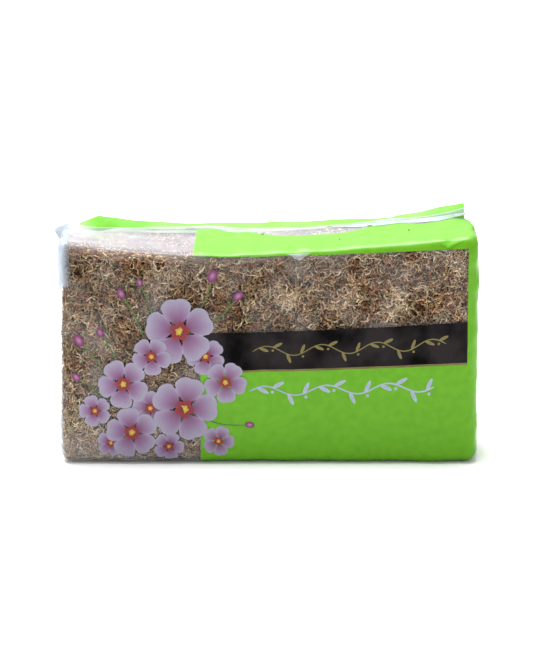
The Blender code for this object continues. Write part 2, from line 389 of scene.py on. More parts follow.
MOSS_TINTS = (  # piece, then the dark, the body and the light of its tone
    ("moss_straw", "#85704A", "#D6BE92", "#F2E3C2"),
    ("moss_fawn", "#705842", "#C6A480", "#EAD3B6"),
    ("moss_tan", "#664930", "#BA8E64", "#E4C298"),
    ("moss_brown", "#472F20", "#976E50", "#C79E7C"),
    ("moss_rust", "#442312", "#935836", "#C1855C"),
    ("moss_olive", "#4C4633", "#968B66", "#C6B98F"),
)
MOSS_SHARES = (0.18, 0.18, 0.18, 0.22, 0.12, 0.12)
draw = np.random.default_rng(501)
limits = np.cumsum((0, *MOSS_SHARES))
tinted = [[] for tint in MOSS_TINTS]
for layer, count, rings, (nearest, farthest), thickness in LAYERS:
    bundled = layer == "tufts"
    starts = tuft_starts if bundled else drawn_starts
    box, facing = starts(draw, count)
    depth = nearest + (farthest - nearest) * draw.uniform(size=len(box)) ** 1.2
    path, deep = strand_paths(draw, box, facing, rings, depth, 0.4 if bundled else 0.75)
    # Strands are thick and thin, a little thicker to the right, knobbly with leaves, and taper.
    girth = draw.uniform(0.5, 1.55, len(box))[:, None] * STRAND_RADIUS * thickness
    girth *= 1 + 0.12 * past(box[:, :1], 0, 0.10)
    leaves = 1 + 0.36 * np.where(np.arange(rings) % 2, 1, -1)
    ends = np.minimum(1, np.minimum(np.arange(rings) + 1.2, rings - np.arange(rings)) / 2.5)
    radius = girth * (leaves * ends)[None, :]
    # Like tints lie in patches. To the right, at the lower left and in the tufts they are paler.
    patches = swell(box, 0.040, 71) * 0.34 + draw.normal(0, 0.42, len(box))
    patches -= 0.10 * np.clip(box[:, 0] / 0.12, -1, 1)
    low_left = past(-box[:, 2], 0, 0.060) * past(-box[:, 0], 0.030, 0.060)
    patches -= 0.80 * low_left
    order = np.argsort(np.argsort(patches)) / len(patches) * (0.55 if bundled else 1)
    for number, tubes in enumerate(tinted):
        mine = (order >= limits[number]) & (order < limits[number + 1])
        tubes.append(strand_tubes(path[mine], deep[mine], radius[mine], STRAND_SIDES))
for (name, *tones), tubes in zip(MOSS_TINTS, tinted):
    verts, faces = [], []
    for points, sides in tubes:
        faces += [[corner + len(verts) for corner in side] for side in sides]
        verts += points.tolist()
    mesh = bpy.data.meshes.new(name)
    mesh.from_pydata(verts, [], faces)
    piece = fix_in_pack(name, mesh, dried_moss(name, *tones))
    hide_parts("moss_block")


# The film bag. One web of polyethylene film, blown clear, printed on its outside and formed
# into a tube round the block. The film clings to the moss and creases where it is folded.
FILM_CELL = 0.0020
BEHIND_SEAM = 0.0240
STRIP_LINE = 0.0140  # the rear edge of the green flap, before it is drawn to its true place
STRIP_EDGE = (  # its true place: along the bag and across it in mm
    *((-54, 22.2), (-38, 22.2), (-29, 20.3), (-15, 19.5), (-5, 13.6), (7, 8), (25, 5.7)),
    *((43, 5.5), (57, 8.2), (72, 15), (92, 18), (105, 14), (120, 14.5), (131, 21), (146, 22.2)),
)
FLAP_EDGE = 0.0771  # the flap's lower edge on the front, at its left end
FLAP_FALL = 0.0344  # and how far it falls for each metre to the right
FLAP_SKEW = 0.053  # how far the flap's left edge leans to the right for each metre back
GREEN_FROM = -0.1343  # left of this the back isn't printed either
TUCKED_TO = -0.1418  # left of this the top's film is doubled by the tucked end
PANEL_LEFT = -0.0485
BAND_LOW = -0.0074
RULE_WIDTH = 0.0015
BASE_GREEN_FROM = 0.02  # behind this the whole base is green
FLUSH = 1e-5  # a face this near to a side of the plain box lies in it
EDGE_SLACK = 0.0015  # how far the film stands off the rounded edges
LEFT_SLACK = 0.0013  # and off the left end
CORNER_SAG = 0.0034  # how far it hangs in at the upper right rear corner
TENT_HEIGHT = 0.0018  # how far the seam lifts it off the top
# Creases of the front: from and to, across the bag and up it in mm, then width and height
FRONT_CREASES = (
    (137, 66, 96, 72, 3.0, 0.9),
    (137, 66, 118, 52, 3.0, 0.5),
    (122, 77, 122, 66, 3.6, 0.9),
    (20, 77, 20, 69, 4.2, -0.9),
    (8, 77, 36, 70, 2.6, 0.5),
    (-140, 66, -112, 50, 3.4, 0.5),
    (-143, 60, -126, 74, 3.0, 0.6),
    (-141, -66, -118, -50, 3.2, 0.5),
    (140, -67, 118, -56, 2.6, 0.7),
    (143, -60, 133, -74, 2.4, 0.8),
    (128, -74, 104, -66, 2.6, 0.4),
    (60, -20, 112, -34, 3.6, 0.35),
    (-20, -62, 34, -50, 4.0, 0.3),
    (84, 30, 128, 52, 3.2, 0.35),
    (-60, 60, -20, 66, 3.0, 0.3),
    (-100, -20, -76, 10, 3.6, 0.3),
    (100, 5, 132, 12, 3.0, 0.35),
    (70, 14, 96, -4, 3.0, 0.3),
    (142, 12, 140, -62, 2.0, 0.8),
    (143, 2, 133, -6, 1.8, -0.7),
    (141, 60, 140, 24, 2.0, 0.5),
)
# Creases of the ends: the gusset's folds, from and to across the end and up it in mm
END_CREASES = (
    (0, 77, -27, 46, 2.0, 1.6),
    (0, 77, 27, 46, 2.0, 1.6),
    (0, -77, -27, -50, 2.0, 1.5),
    (0, -77, 27, -50, 2.0, 1.5),
    (-1, 48, 2, -48, 2.2, -1.5),
    (-24, 42, -10, -18, 2.4, 0.7),
    (22, 34, 9, -36, 2.4, 0.7),
    (-26, 44, 26, 40, 2.4, 0.6),
    (-26, -46, 24, -52, 2.4, 0.5),
)


def fold_rise(across, up, creases):
    """Height of a set of straight creases over one side of the bag."""
    rise = np.zeros(len(across))
    for from_x, from_z, to_x, to_z, width, height in creases:
        run = np.array((to_x - from_x, to_z - from_z)) / 1000
        part_x = across - from_x / 1000
        part_z = up - from_z / 1000
        share = np.clip((part_x * run[0] + part_z * run[1]) / (run @ run), 0, 1)
        away = np.hypot(part_x - share * run[0], part_z - share * run[1]) * 1000 / width
        rise += height / 1000 * np.exp(-np.abs(away) ** 1.3) * (1 - 0.6 * share)
    return rise


def read_line(line, x):
    """Read a line of places along the bag and values, both in mm, at places in metres."""
    return np.interp(x * 1000, *zip(*line)) / 1000


def corner_drop(x):
    """How far the film hangs in at the upper right rear corner, where no moss fills it."""
    return CORNER_SAG * past(x, 0.1290, 0.0120)


def film_rise(box):
    """How far the film stands out from the plain bag face, in metres."""
    x, y, z = box.T
    rise = 0.00034 * swell(box, 0.036, 41) + 0.00013 * swell(box, 0.013, 42)
    # The creases of the front, of the back, which has some of the same, and of the ends.
    rise += past(-y, 0.024, 0.007) * fold_rise(x, z, FRONT_CREASES)
    rise += past(y, 0.024, 0.007) * fold_rise(-x, z, FRONT_CREASES[5:12])
    rise += past(np.abs(x), 0.139, 0.006) * fold_rise(y * np.sign(x), z, END_CREASES)
    # Film stands off the rounded edges, but not at the base, and less on the right end.
    out = np.abs(box - np.clip(box, -CORE, CORE))
    turned = 1 - out.max(axis=1) / np.maximum(1e-9, np.linalg.norm(out, axis=1))
    off_edge = EDGE_SLACK * np.minimum(1, turned / 0.293) ** 0.8 * past(z, -0.070, 0.012)
    soft = past(x, 0.130, 0.010) * past(-np.abs(z), -0.064, 0.008)
    rise += off_edge * (1 - 0.75 * soft)
    rise += LEFT_SLACK * past(-x, 0.1410, 0.0040)
    rise -= corner_drop(x) * past(z, 0.066, 0.008) * past(y, -0.012, 0.030)
    # The seam holds it up like a tent on the left, and fine pleats hang from the top edges.
    tent = np.exp(-(((y - 0.0235) / 0.0065) ** 2)) * past(z, 0.070, 0.005)
    stretch = np.interp(x, (-0.125, -0.100, -0.040, -0.010), (0, TENT_HEIGHT, TENT_HEIGHT, 0))
    near_top = np.exp(-(HALVES[2] - z) / 0.010)
    pleats = np.sin(x * 190 + 3 * np.sin(x * 47)) * (0.3 + 0.7 * np.sin(x * 23 + 1) ** 2)
    return rise + tent * stretch + 0.00030 * pleats * near_top


def on_film(box, lift=0.0):
    """Points of the film's face, or a little over it. Its underside lies flat on the table."""
    spots = skin(box, -film_rise(box) - lift)
    spots[:, 2] = np.maximum(spots[:, 2], 0.0)
    return spots


def print_zone(middle):
    """Which print covers a face of the film, from its middle on the plain box."""
    x, y, z = middle
    behind_seam = "green" if x > GREEN_FROM else "clear"
    if abs(y - HALF_DEPTH) < FLUSH:
        return behind_seam
    if abs(x - HALF_LENGTH) < FLUSH:
        return "green"
    if abs(x + HALF_LENGTH) < FLUSH:
        return "clear"
    if abs(z - HALVES[2]) < FLUSH:
        if x < TUCKED_TO:
            return "tucked"
        if y > BEHIND_SEAM:
            return behind_seam
        printed = x > FLAP_LEFT + (y + HALF_DEPTH) * FLAP_SKEW and y < STRIP_LINE
        return "green" if printed else "clear"
    if abs(z + HALVES[2]) < FLUSH:
        return "green" if x > PANEL_LEFT or y > BASE_GREEN_FROM else "clear"
    if x > WINDOW_RIGHT:
        return "green"
    if z > FLAP_EDGE - (x - FLAP_LEFT) * FLAP_FALL:
        return "green" if x > FLAP_LEFT else "clear"
    if z > BAND_TOP or x < PANEL_LEFT:
        return "clear"
    if z > BAND_LOW:
        return "black"
    return "gold" if z > BAND_LOW - RULE_WIDTH else "green"


shape = box_grid(FILM_CELL)
print_lines = (  # a point on each edge of the print, and the way across that edge
    ((GREEN_FROM, 0, 0), (1, 0, 0)),
    ((TUCKED_TO, 0, 0), (1, 0, 0)),
    ((PANEL_LEFT, 0, 0), (1, 0, 0)),
    ((WINDOW_RIGHT, 0, 0), (1, 0, 0)),
    ((0, 0, BAND_TOP), (0, 0, 1)),
    ((0, 0, BAND_LOW), (0, 0, 1)),
    ((0, 0, BAND_LOW - RULE_WIDTH), (0, 0, 1)),
    ((FLAP_LEFT, 0, FLAP_EDGE), (FLAP_FALL, 0, 1)),
    ((0, STRIP_LINE, 0), (0, 1, 0)),
    ((0, BEHIND_SEAM, 0), (0, 1, 0)),
    ((FLAP_LEFT, -HALF_DEPTH, 0), (1, -FLAP_SKEW, 0)),
)
for spot, way in print_lines:
    everything = list(shape.verts) + list(shape.edges) + list(shape.faces)
    bmesh.ops.bisect_plane(
        shape, geom=everything, dist=1e-6, plane_co=spot, plane_no=Vector(way).normalized()
    )
shape.faces.index_update()
zone_of = [print_zone(face.calc_center_median()) for face in shape.faces]
for across, up in VENTS:
    hole = Vector((across, HALF_DEPTH, up))
    nearest = min(shape.verts, key=lambda vert: (vert.co - hole).length)
    hole = nearest.co.copy()
    for face in nearest.link_faces:
        zone_of[face.index] = "air"
        for vert in face.verts:
            if vert != nearest:
                vert.co = hole + (vert.co - hole).normalized() * VENT_RADIUS
# The flap's straight rear edge is drawn to its wavy place, and the film round it follows.
grid = points_of(shape)
drawn = read_line(STRIP_EDGE, grid[:, 0]) - STRIP_LINE
before = past(grid[:, 1], -0.024, STRIP_LINE + 0.024)
behind = past(-grid[:, 1], -BEHIND_SEAM, BEHIND_SEAM - STRIP_LINE)
on_top = past(grid[:, 2], HALVES[2] - 0.002, 0.002)
grid[:, 1] += drawn * np.where(grid[:, 1] < STRIP_LINE, before, behind) * on_top
move_points(shape, on_film(grid))


def film_piece(name, zone, material):
    """Take one print zone's faces out of the whole web as a piece."""
    part = shape.copy()
    part.faces.ensure_lookup_table()
    spare = [face for face in part.faces if zone_of[face.index] != zone]
    bmesh.ops.delete(part, geom=spare, context="FACES")
    return add_piece(name, part, material)


# A pale grey for faces that look up: partly dust, partly a painted highlight for the light
# overhead.
DUST_AND_GLARE = "#96959B"


def dust_and_top_glare(tree, low, high, most):
    """Dust and a painted highlight on a film: none where it stands upright, the most where it faces
    straight up, towards the light overhead.
    """
    normal = node(tree, "NewGeometry").outputs["Normal"]
    upward = node(tree, "SeparateXYZ", [("Vector", normal)]).outputs["Z"]
    feeds = [("Value", upward), ("To Max", most)]
    return node(tree, "MapRange", feeds, From_Min=low, From_Max=high)


def clear_polyethylene(name, thin, thick, tint, milk, dust_and_glare=0.0, fades=False):
    """Blown polyethylene: nearly unseen head on, milky where it turns away and low down. Where it
    faces up it can be whiter, partly from dust and partly as a painted highlight for the light from
    above. Its haze lies in clouds 26 mm across, 38 to the metre. Thin and thick say how much it
    hides."""
    material, tree, shader = new_material(name, roughness=0.22, gloss=0.2)
    place = node(tree, "TexCoord").outputs["Object"]
    haze = node(tree, "TexNoise", [("Vector", place)], Scale=38, Detail=3)
    feeds = [("Value", haze), ("To Min", thin), ("To Max", thick)]
    veil = node(tree, "MapRange", feeds, From_Min=0.35, From_Max=0.75)
    facing = node(tree, "LayerWeight", Blend=0.35).outputs["Facing"]
    edge = node(tree, "Math", [(0, facing), (1, 3.2)], operation="POWER")
    feeds = [(0, edge), (1, 1.3), (2, veil)]
    cover = node(tree, "Math", feeds, operation="MULTIPLY_ADD", use_clamp=True)
    height = node(tree, "SeparateXYZ", [("Vector", place)]).outputs["Z"]
    feeds = [("Value", height), ("To Max", 0.1)]
    rubbed = node(tree, "MapRange", feeds, From_Min=0.085, From_Max=0.005)
    feeds = [(0, cover), (1, rubbed)]
    cover = node(tree, "Math", feeds, operation="ADD", use_clamp=True)
    cloud = node(tree, "ValToRGB", [("Fac", haze)], ((0.2, tint), (0.8, milk)))
    # Faces that look up grow whiter and more opaque: partly dust, partly a painted highlight.
    if dust_and_glare:
        facing_up = dust_and_top_glare(tree, 0.05, 0.85, 1)
        scaled = node(tree, "Math", [(0, facing_up), (1, dust_and_glare)], operation="MULTIPLY")
        feeds = [(0, cover), (1, scaled)]
        cover = node(tree, "Math", feeds, operation="ADD", use_clamp=True)
        feeds = [("Fac", facing_up), ("Color1", cloud)]
        cloud = node(tree, "MixRGB", feeds, Color2=colour(DUST_AND_GLARE))
    if fades:
        place = node(tree, "TexCoord").outputs["UV"]
        whole = node(tree, "SeparateXYZ", [("Vector", place)]).outputs["X"]
        cover = node(tree, "Math", [(0, cover), (1, whole)], operation="MULTIPLY")
    feed(shader, [("Alpha", cover), ("Base Color", cloud), ("IOR", 1.5)])
    return material


def printed_film(name, deep, body, patches, gloss):
    """Flexo ink on polyethylene: glossy, deeper where the moss backs it, greyed on top by dust and
    by a painted highlight. Patches are to the metre, so 190 are 5 mm across. Its crinkles are 22 mm
    across, 46 to the metre."""
    material, tree, shader = new_material(name, roughness=0.36, gloss=gloss)
    place = node(tree, "TexCoord").outputs["Object"]
    backing = node(tree, "TexNoise", [("Vector", place)], Scale=patches, Detail=4)
    tone = node(tree, "ValToRGB", [("Fac", backing)], ((0.36, deep), (0.62, body)))
    feeds = [("Fac", dust_and_top_glare(tree, 0.3, 0.9, 0.09)), ("Color1", tone)]
    dusted_and_glared = node(tree, "MixRGB", feeds, Color2=colour(DUST_AND_GLARE))
    settings = {"noise_type": "RIDGED_MULTIFRACTAL", "Scale": 46, "Detail": 3}
    crinkle = node(tree, "TexNoise", [("Vector", place)], **settings)
    bump = node(tree, "Bump", [("Height", crinkle)], Strength=0.35, Distance=0.0011)
    feed(shader, [("Base Color", dusted_and_glared), ("Normal", bump), ("IOR", 1.5)])
    return material


clear_film = clear_polyethylene(
    "clear_polyethylene_film", 0.0, 0.14, "#B5B0AD", "#D6D2D0", dust_and_glare=0.36
)
green_ink = printed_film("green_printed_polyethylene", "#54900F", "#5A9715", 190, 0.16)
black_ink = printed_film("black_printed_polyethylene", "#030202", "#262223", 40, 0.03)
gold_ink = printed_film("gold_printed_polyethylene", "#514D25", "#676232", 60, 0.15)
clear = film_piece("film_clear", "clear", clear_film)
green = film_piece("film_green", "green", green_ink)
film_piece("film_band", "black", black_ink)
film_piece("film_rule", "gold", gold_ink)
# Two plies and the air between them make the film grey and nearly opaque at the tucked end.
doubled_film = clear_polyethylene("doubled_polyethylene_film", 0.88, 0.97, "#7F8C9C", "#93A0AF")
film_piece("film_tuck", "tucked", doubled_film)
shape.free()
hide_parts("film_bag")
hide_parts("film_bag")


# The fold at the left end. Where the gusset is tucked in, two plies of the clear film lie
# together, so the edge looks milky: faintly all the way down, strongly where they stand proud.
FOLD_FOOT = -0.0700
FOLD_TOP = HALVES[2] - 0.0006
FOLD_PROUD_FROM = 0.0443  # above this the fold stands proud
FOLD_ON_END = 0.0160  # its width on the end
FOLD_ON_FRONT = 0.0082  # its width on the front where it stands proud
FOLD_LOW_WIDTH = 0.0032  # and its width there lower down
FOLD_FADE = 0.0066  # it thins out to nothing over this
folded_film = clear_polyethylene(
    "folded_polyethylene_film", 0.84, 0.96, "#97A3B2", "#AEB9C6", fades=True
)
shape = bmesh.new()
bmesh.ops.create_grid(shape, x_segments=26, y_segments=96, size=1)
grid = points_of(shape)
rise = (grid[:, 1] + 1) / 2
turned = (grid[:, 0] + 1) / 2 * (FOLD_ON_END + FOLD_ON_FRONT)
box = np.zeros((len(grid), 3))
box[:, 0] = np.maximum(0, turned - FOLD_ON_END) - HALF_LENGTH
box[:, 1] = np.maximum(0, FOLD_ON_END - turned) - HALF_DEPTH
box[:, 2] = FOLD_FOOT + (FOLD_TOP - FOLD_FOOT) * rise
above = past(box[:, 2], FOLD_PROUD_FROM, 0.0034)
bowed = np.sin(np.pi * past(turned, 0, FOLD_ON_END + 0.004))
lift = 0.00015 + above * (0.0003 + 0.0007 * bowed)
reach = FOLD_ON_END + FOLD_LOW_WIDTH + (FOLD_ON_FRONT - FOLD_LOW_WIDTH) * above
whole = past(reach, turned, FOLD_FADE) ** 1.6
whole *= past(turned, 0, 0.005) * (0.5 + 0.5 * above)
move_points(shape, on_film(box, lift))
shape.verts.index_update()
fade = shape.loops.layers.uv.new("fade")
for face in shape.faces:
    for loop in face.loops:
        loop[fade].uv = (whole[loop.vert.index], 0)
add_piece("gusset_fold", shape, folded_film)


# The sealed seam. The front web and the back web are welded together by hot ribbed jaws, and
# the back web runs on past the weld as a lip. At the left it ends in a small clear ear.
SEAM_FOOT = 0.0225  # how far behind the bag's middle the seam stands
SEAM_LEAN = 0.0085
SEAM_LEFT = -0.1520
SEAM_RIGHT = 0.1378
SEALED_FROM = 0.0520  # right of this the front web is welded flat to the back one
WEB_RIGHT = SEAM_RIGHT + 0.0008  # the front web ends a little further on
LIP_LINE = (  # the back web's edge: places along the bag and heights over its top in mm
    *((-152, 0.4), (-144, 3.0), (-135, 2.6), (-121, 8.6), (-103, 6.7), (-85, 4.7), (-56, 4.0)),
    *((-28, 4.1), (22, 2.8), (64, 1.6), (86, 1.2), (107, 3.6), (121, 6.0), (138, 7.0)),
)
WEB_LINE = (  # the front web's edge, in the same way
    *((-152, 0.4), (-144, 3.0), (-134, 2.1), (-119, 2.0), (-86, 2.0), (-68, 2.3), (-59, 2.7)),
    *((-43, 3.0), (-31, 2.3), (-20, 1.6), (-10, 1.1), (22, 0.3), (57, 0.3), (71, 0.6)),
    *((82, 0.9), (100, 1.0), (114, 1.7), (128, 3.1), (138, 4.5)),
)
# The front web's foot runs out over the top as an apron: places and reach in mm
APRON_LINE = ((40, 0), (60, 7), (75, 8), (92, 5), (105, 8), (120, 8), (131, 2), (138, 0.5))


def seam_points(x, height, share, forward, apron):
    """Points of a web of the seam: share runs from its foot to this height over the top."""
    along = x / HALF_LENGTH
    top = BAG_HEIGHT + top_rise(along, SEAM_FOOT / HALF_DEPTH)
    ear = past(-x, 0.1380, 0.014)
    foot = top - 0.0010 - 0.0065 * np.sin(np.pi * ear**1.6) - corner_drop(x)
    foot = np.where(apron > 0, top + 0.0006, foot)
    lip = top + read_line(LIP_LINE, x)
    z = foot + (top + height - foot) * share
    up = past(z, foot, lip - foot)
    y = SEAM_FOOT + SEAM_LEAN * (1 - 0.55 * ear) * up**1.2 - apron
    y += (0.0008 * np.sin(21 * along + 0.5) + 0.0005 * np.sin(x * 160 + 2 * np.sin(x * 61))) * up
    return np.stack((x + BAG_MIDDLE, y - forward, z), axis=1)


def seam_web(name, left, right, edge_line, forward, ribs, material):
    """Make one web of the seam, this far forward of the fold, with ribs of this height."""
    shape = bmesh.new()
    bmesh.ops.create_grid(shape, x_segments=230, y_segments=18, size=1)
    grid = points_of(shape)
    x = left + (right - left) * (grid[:, 0] + 1) / 2
    share = (grid[:, 1] + 1) / 2
    ripple = ribs * np.sin(share * 6 * np.pi) ** 2
    apron = read_line(APRON_LINE, x) * np.maximum(0, 1 - share / 0.4) if ribs > 0 else 0.0
    height = read_line(edge_line, x)
    move_points(shape, seam_points(x, height, share, forward + ripple, apron))
    add_piece(name, shape, material)


# The lip and the green pleat use a lighter copy of the green ink: painted light, for the light from
# above that falls on them.
lit_green = printed_film("painted_lit_green_polyethylene_lip", "#5BA31E", "#64AD25", 90, 0.08)
sealed_film = clear_polyethylene("heat_sealed_polyethylene_film", 0.4, 0.65, "#93A09F", "#A7B3B4")
single_film = clear_polyethylene("single_polyethylene_film", 0.28, 0.5, "#ABB2B1", "#BEC4C5")
seam_web("seam_back_web", GREEN_FROM, SEAM_RIGHT, LIP_LINE, 0, 0, lit_green)
seam_web("seam_front_left", GREEN_FROM, SEALED_FROM, WEB_LINE, 4e-4, 1e-4, single_film)
seam_web("seam_front_right", SEALED_FROM, WEB_RIGHT, WEB_LINE, 5e-4, 3e-4, sealed_film)
seam_web("seam_ear", SEAM_LEFT, GREEN_FROM, LIP_LINE, 2e-4, 0, doubled_film)


# Two small pleats. Slack film drawn over the front edge doubled into flat three-cornered folds,
# which stand out a little at their tips and catch the light. The clear one is whitened partly by
# its doubled film and partly as a painted glint. The green one has the lip's lighter green, which
# is painted light.
# Milky film for the clear pleat: doubled film, and a painted glint.
glinting_pleat_film = clear_polyethylene("pleated_polyethylene_film_painted_glint", 0.36, 0.6, "#A9AEB4", "#C3C6C9")
PLEATS = (  # two corners on the front's upper edge and the tip, across the bag and up it in mm
    ("pleat_clear", ((11.7, 76.8), (29.4, 76.8), (20.9, 70.3)), glinting_pleat_film, "clear_film"),
    ("pleat_green", ((118.0, 76.4), (136.0, 76.9), (124.9, 71.8)), lit_green, "printed_film"),
)
PLEAT_ROWS = 9
PLEAT_END = 0.94  # a pleat ends in a blunt tip, this share of the way to its point
PLEAT_TIP_RISE = 0.0013
for name, corners, material, slot in PLEATS:
    left, right, tip = np.array(corners) / 1000
    shape = bmesh.new()
    rows = []
    for share in np.linspace(0, PLEAT_END, PLEAT_ROWS):
        ends = np.linspace(left + (tip - left) * share, right + (tip - right) * share, PLEAT_ROWS)
        box = np.stack((ends[:, 0], np.full(PLEAT_ROWS, -HALF_DEPTH), ends[:, 1]), axis=1)
        bowed = np.sin(np.linspace(0, np.pi, PLEAT_ROWS))
        spots = on_film(box, 0.0002 + PLEAT_TIP_RISE * share * bowed)
        rows.append([shape.verts.new(spot) for spot in spots])
    for upper, lower in zip(rows, rows[1:]):
        for place in range(PLEAT_ROWS - 1):
            shape.faces.new((upper[place], lower[place], lower[place + 1], upper[place + 1]))
    add_piece(name, shape, material)


# Crumbs of moss on the bag: bits of strand that fell on the top while the pack was filled.
CRUMBS = (  # along the top and across it in mm, turn, and length in mm
    (-5.0, 12.8, 0.5, 2.0),
    (70.8, 15.1, 0.1, 3.8),
    (98.0, -0.9, 0.9, 1.5),
    (49.2, -9.8, 1.8, 1.4),
)
CRUMB_RADIUS = 0.00042
CRUMB_RINGS = np.array((0.4, 1.1, 0.8, 1.2, 0.9, 0.4))  # their thickness from end to end
CRUMB_SIDES = 6
CRUMB_LIFT = 0.0004
run = np.linspace(-0.5, 0.5, len(CRUMB_RINGS))
path = np.zeros((len(CRUMBS), len(CRUMB_RINGS), 3))
for number, (x, y, turn, long) in enumerate(CRUMBS):
    path[number, :, 0] = (x + run * long * math.cos(turn) + 0.3 * run**2) / 1000
    path[number, :, 1] = (y + run * long * math.sin(turn) + 1.2 * run**2) / 1000
    path[number, :, 2] = HALVES[2]
depth = -film_rise(path.reshape(-1, 3)).reshape(path.shape[:2]) - CRUMB_LIFT
girth = np.broadcast_to(CRUMB_RADIUS * CRUMB_RINGS, depth.shape)
verts, faces = strand_tubes(path, depth, girth, CRUMB_SIDES)
mesh = bpy.data.meshes.new("moss_crumbs")
mesh.from_pydata(verts.tolist(), [], faces)
crumb_moss = dried_moss("fallen_sphagnum", "#6A4428", "#A5704A", "#C99C70")
fix_in_pack("moss_crumbs", mesh, crumb_moss)


# The printed flowers: small mallow blossoms, buds and stems in lilac, magenta and green ink.
# They are printed on the film, so here they are thin skins that lie on it and follow it.
BLOSSOMS = (  # place on the front in mm, radius in mm, turn in degrees
    (-45, 3, 14.0, 24),
    (-84, -36, 13.0, 5),
    (-36, -60, 11.5, -22),
    (-112, -62, 10.0, -10),
    (-63, 21, 24.5, 8),
    (-103, -19, 18.0, 30),
    (-60, -36, 24.0, -14),
    (-97, -54, 18.5, 12),
    (-31, -16, 15.5, 40),
    (-83, 2, 14.0, -30),
    (-123, -39, 11.5, 20),
    (-71, -64, 11.0, 50),
)
BUDS = (  # bud and foot of its stem in mm, bud length in mm
    (-104, 46, -86, 6, 6.4),
    (-91, 55, -80, 12, 5.0),
    (-40, 62, -56, 26, 8.0),
    (-22, 47, -50, 22, 7.0),
    (-134, 10, -112, -22, 7.4),
    (-119, 17, -106, -14, 5.6),
    (-136, -16, -116, -34, 6.0),
    (-14, -48, -50, -42, 5.6),
)
INK_LIFT = 0.00012  # a skin of ink lies this far over the film
BLOSSOM_STEP = 0.00005  # each blossom over the one before it
PETAL_STEP = 0.00001  # each petal over the one before it
THROAT_LIFT = 0.00009
EYE_LIFT = 0.00012
BUD_LIFT = 0.00004
LINE_LIFT = -0.00003  # stems lie under the flowers
PETALS = 5
PETAL_WIDTH = 0.66
PETAL_RINGS = 9
PETAL_SPOKES = 13
DISC_STEPS = 28
VEIN_FAN = 56  # makes 18 veins across a petal


def ink_material(name, tones, vein):
    """Flower inks: pale at the petal's edge, strong at its root, with fine darker veins."""
    material, tree, shader = new_material(name, roughness=0.35, gloss=0.25)
    place = node(tree, "TexCoord").outputs["UV"]
    parts = node(tree, "SeparateXYZ", [("Vector", place)])
    tone = node(tree, "ValToRGB", [("Fac", parts.outputs["X"])], tones)
    feeds = [(0, parts.outputs["Y"]), (1, VEIN_FAN)]
    fan = node(tree, "Math", feeds, operation="MULTIPLY")
    wave = node(tree, "Math", [(0, fan)], operation="SINE")
    feeds = [("Value", wave), ("To Max", vein)]
    line = node(tree, "MapRange", feeds, From_Min=0.55, From_Max=1.0)
    feeds = [("Fac", line), ("Color1", tone)]
    veined = node(tree, "MixRGB", feeds, Color2=colour("#64405E"))
    feed(shader, [("Base Color", veined)])
    return material


def lay_on_film(name, flats, faces, uvs, lifts, material):
    """A skin of ink from flat points on the front, in metres across the bag and up it."""
    flats = np.array(flats)
    box = np.stack((flats[:, 0], np.full(len(flats), -HALF_DEPTH), flats[:, 1]), axis=1)
    mesh = bpy.data.meshes.new(name)
    mesh.from_pydata(on_film(box, INK_LIFT + np.array(lifts)).tolist(), [], faces)
    layer = mesh.uv_layers.new(name="petal")
    for loop in mesh.loops:
        layer.data[loop.index].uv = uvs[loop.vertex_index]
    fix_in_pack(name, mesh, material)


def spot_from(middle, reach, way):
    """The spot that lies this far from a middle, in this direction."""
    return (middle[0] + reach * math.cos(way), middle[1] + reach * math.sin(way))


def petal(middle, size, way, lift, book):
    """Add one rounded petal, notched a little at its tip, to a book of points and faces."""
    flats, faces, uvs, lifts = book
    start = len(flats)
    for ring in range(PETAL_RINGS):
        out = ring / (PETAL_RINGS - 1)
        for spoke in range(PETAL_SPOKES):
            side = spoke / (PETAL_SPOKES - 1) * 2 - 1
            round_off = math.sqrt(max(0, 1 - abs(side) ** 2.6))
            notch = 0.05 * math.exp(-((side * 6) ** 2))
            reach = size * (0.16 + out * (0.44 + 0.40 * round_off - notch))
            spread = PETAL_WIDTH * side * (0.35 + 0.65 * math.sin(min(1, out * 1.15) * math.pi / 2))
            spread *= 1 + 0.03 * math.sin(9 * side + 5 * out + way)
            flats.append(spot_from(middle, reach, way + spread))
            uvs.append((out, side))
            lifts.append(lift)
    for ring in range(PETAL_RINGS - 1):
        for spoke in range(PETAL_SPOKES - 1):
            corner = start + ring * PETAL_SPOKES + spoke
            faces.append((corner, corner + PETAL_SPOKES, corner + PETAL_SPOKES + 1, corner + 1))


def disc(middle, size, squash, way, lift, book, lobes=0):
    """Add one round or lobed spot to a book of points and faces."""
    flats, faces, uvs, lifts = book
    start = len(flats)
    flats.append(middle)
    uvs.append((0, 0))
    lifts.append(lift)
    for step in range(DISC_STEPS):
        turn = 2 * math.pi * step / DISC_STEPS
        reach = size * (1 + 0.16 * math.cos(lobes * turn)) if lobes else size
        along = spot_from(middle, reach * math.cos(turn), way)
        flats.append(spot_from(along, reach * squash * math.sin(turn), way + math.pi / 2))
        uvs.append((1, math.sin(turn)))
        lifts.append(lift)
        faces.append((start, start + 1 + step, start + 1 + (step + 1) % DISC_STEPS))


def line_of_ink(x, z, half, book):
    """Add a thin line through places in mm, thinner at its ends, to a book of points and faces."""
    flats, faces, uvs, lifts = book
    way = np.arctan2(np.gradient(z), np.gradient(x))
    wide = half * np.minimum(1, 0.4 + 0.3 * np.minimum(np.arange(len(x)), np.arange(len(x))[::-1]))
    for number in range(len(x)):
        for side in (-wide[number], wide[number]):
            off = (-side * math.sin(way[number]), side * math.cos(way[number]))
            flats.append(((x[number] + off[0]) / 1000, (z[number] + off[1]) / 1000))
            uvs.append((number / (len(x) - 1), side))
            lifts.append(LINE_LIFT)
        if number:
            corner = len(flats) - 4
            faces.append((corner, corner + 2, corner + 3, corner + 1))


